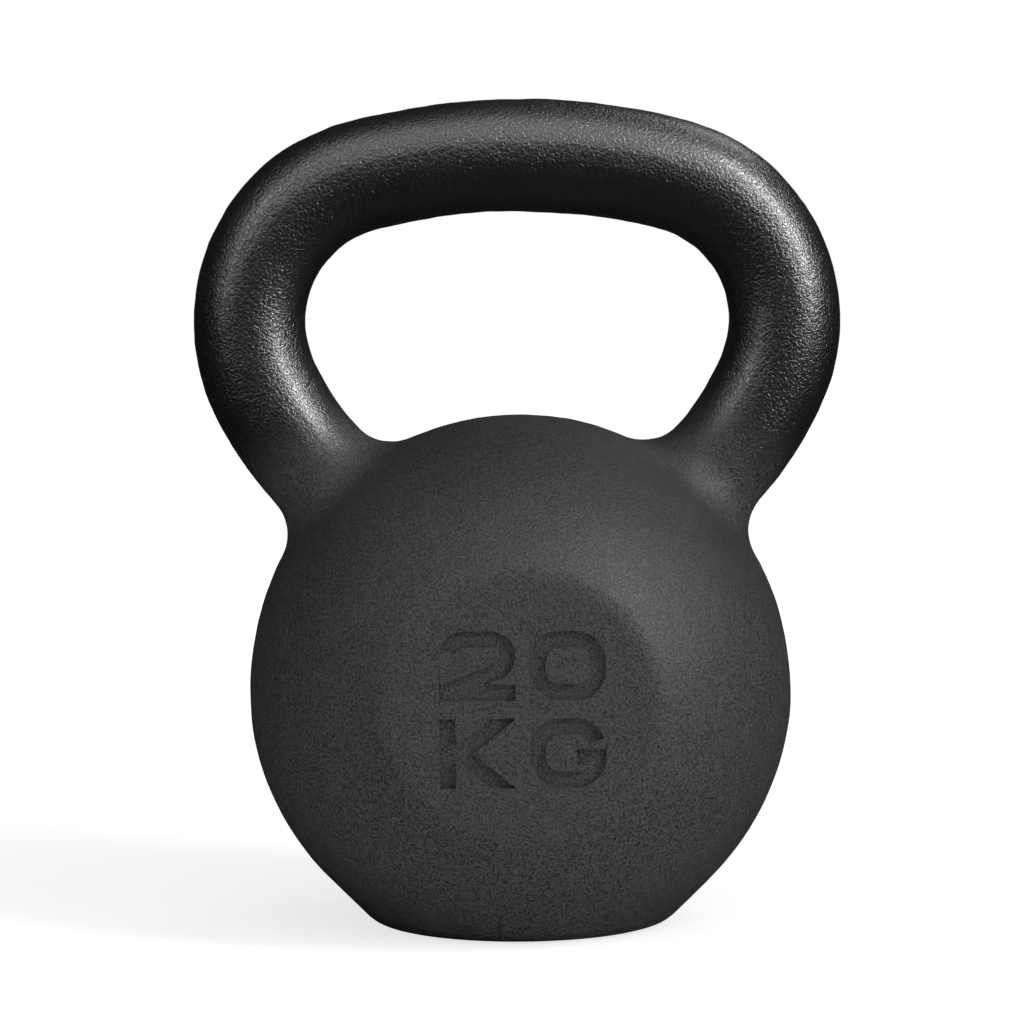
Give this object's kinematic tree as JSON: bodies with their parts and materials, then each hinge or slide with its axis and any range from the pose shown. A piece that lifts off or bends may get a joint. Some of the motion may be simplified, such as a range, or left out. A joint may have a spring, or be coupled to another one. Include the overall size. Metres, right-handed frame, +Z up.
{
  "type": "kettlebell",
  "caption": "Solid cast iron kettlebell: a round bell with a flat base, flat front and back faces, and a thick looped handle for one or two hands.",
  "frame": {"origin": "on the floor, at the middle of the flat base", "axes": "+Z up along the bell's axis, X along the handle's grip, -Y out of the front face that carries the weight mark"},
  "size_m": [0.202, 0.1482, 0.2569],
  "materials": {
    "black_powder_coat": "matte black powder coat with a fine orange-peel grain, baked on bare cast iron"
  },
  "bodies": {
    "root": {"cast_body": "black_powder_coat"}
  },
  "joints": []
}
